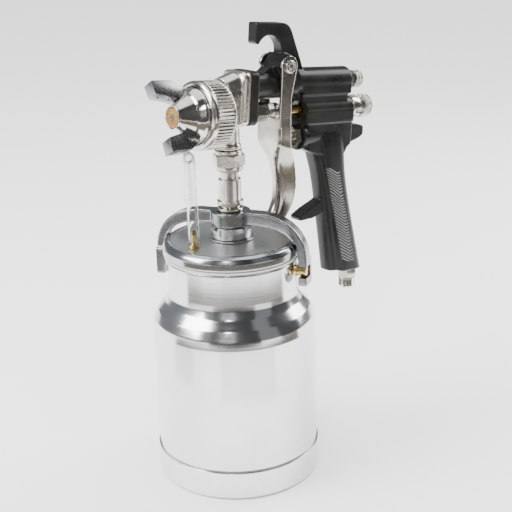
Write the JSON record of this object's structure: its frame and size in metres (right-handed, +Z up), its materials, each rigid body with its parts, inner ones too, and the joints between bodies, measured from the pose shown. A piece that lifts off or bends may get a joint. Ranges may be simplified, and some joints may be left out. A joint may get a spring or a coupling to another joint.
{
  "type": "spray gun",
  "caption": "Air spray gun with a two-horn air cap, hanging hook, trigger and knurled control knobs, standing on a screw-free paint cup clamped under its lid by a slotted yoke.",
  "frame": {"origin": "centre of the cup's underside, on the cup's axis", "axes": "+Z up along the cup's axis; the gun sprays towards -X and its left side faces -Y; the barrel points 5.6 degrees nose-up"},
  "size_m": [0.175, 0.1082, 0.2929],
  "materials": {
    "black_enamel": "black enamel on cast aluminium, satin to gloss",
    "nickel": "nickel plate on machined brass, bright with turning marks",
    "chrome": "chrome plate, polished with worn grey flats",
    "polished_aluminium": "spun and polished, fine turning lines",
    "cast_aluminium": "cast, lightly tumbled, fine speckle",
    "steel": "turned steel",
    "brass": "turned brass, lightly tarnished",
    "copper": "copper-coloured machined face",
    "white_rubber": "off-white sealing rubber and packing",
    "clear_vinyl": "clear hose with a faint green tint",
    "fibre": "brown fibre gasket sheet"
  },
  "bodies": {
    "gun_and_cup": {"cup_shell": "polished_aluminium", "cup_pin_rear": "brass", "cup_pin_front": "brass", "lid_cover": "cast_aluminium", "lid_gasket": "white_rubber", "collar_washer": "steel", "cam_collar": "steel", "stem_nut": "nickel", "vent_barb": "brass", "vent_tube": "clear_vinyl", "pickup_tube": "steel", "fluid_stem": "nickel", "stem_lock_ring": "nickel", "union_nut": "nickel", "fluid_head": "nickel", "head_gasket": "fibre", "fluid_nozzle": "steel", "needle_packing": "white_rubber", "packing_nut": "nickel", "needle_spring": "steel", "fluid_bushing": "nickel", "gun_body": "black_enamel", "fan_bushing": "nickel", "valve_gland": "nickel", "valve_spring": "steel", "inlet_nipple": "nickel", "pivot_screw": "chrome", "pivot_nut": "black_enamel"},
    "yoke": {"yoke": "cast_aluminium"},
    "trigger": {"trigger": "chrome"},
    "needle": {"needle": "steel", "needle_collar": "nickel", "needle_set_screw": "steel", "needle_sleeve": "brass"},
    "air_valve": {"valve_stem": "steel"},
    "air_cap": {"air_cap": "chrome", "cap_insert": "copper"},
    "retaining_ring": {"retaining_ring": "nickel"},
    "spring_seat": {"spring_seat": "brass"},
    "fluid_knob": {"fluid_knob": "nickel"},
    "fan_plug": {"fan_plug": "brass"},
    "fan_knob": {"fan_knob": "nickel"}
  },
  "joints": [
    {"name": "yoke_turn", "type": "hinge", "parent": "gun_and_cup", "child": "yoke", "pos_m": [0, 0, 0.174], "axis": [0, 0, 1], "range_deg": [0, 25]},
    {"name": "trigger_pull", "type": "hinge", "parent": "gun_and_cup", "child": "trigger", "pos_m": [0.04214, 0, 0.26461], "axis": [0, -1, 0], "range_deg": [0, 9], "stiffness_Nm_per_rad": 4, "springref_deg": -8.59},
    {"name": "needle_slide", "type": "slide", "parent": "gun_and_cup", "child": "needle", "axis": [0.9952, 0, -0.0976], "range_m": [0, 0.0053], "deforming": ["needle_spring"]},
    {"name": "valve_slide", "type": "slide", "parent": "gun_and_cup", "child": "air_valve", "axis": [0.9952, 0, -0.0976], "range_m": [0, 0.0074], "deforming": ["valve_spring"]},
    {"name": "fluid_seat_slide", "type": "slide", "parent": "gun_and_cup", "child": "spring_seat", "axis": [0.9952, 0, -0.0976], "range_m": [-0.0025, 0.00187]},
    {"name": "fluid_knob_turn", "type": "hinge", "parent": "spring_seat", "child": "fluid_knob", "pos_m": [0.11694, 0, 0.22814], "axis": [0.9952, 0, -0.0976], "range_deg": [-720, 540]},
    {"name": "fan_plug_slide", "type": "slide", "parent": "gun_and_cup", "child": "fan_plug", "axis": [0.9952, 0, -0.0976], "range_m": [0, 0.0025]},
    {"name": "fan_knob_turn", "type": "hinge", "parent": "fan_plug", "child": "fan_knob", "pos_m": [0.1098, 0, 0.24734], "axis": [0.9952, 0, -0.0976], "range_deg": [0, 900]},
    {"name": "air_cap_turn", "type": "hinge", "parent": "gun_and_cup", "child": "air_cap", "pos_m": [-0.02986, 0, 0.24253], "axis": [0.9952, 0, -0.0976], "continuous": true},
    {"name": "retaining_ring_turn", "type": "hinge", "parent": "gun_and_cup", "child": "retaining_ring", "pos_m": [-0.01692, 0, 0.24126], "axis": [0.9952, 0, -0.0976], "continuous": true}
  ],
  "couplings": [
    {"joint": "needle_slide", "follows": "trigger_pull", "m_per_rad": 0.0335},
    {"joint": "valve_slide", "follows": "trigger_pull", "m_per_rad": 0.0465},
    {"joint": "fluid_knob_turn", "follows": "fluid_seat_slide", "rad_per_m": 5026.5},
    {"joint": "fan_knob_turn", "follows": "fan_plug_slide", "rad_per_m": 6283.2}
  ]
}
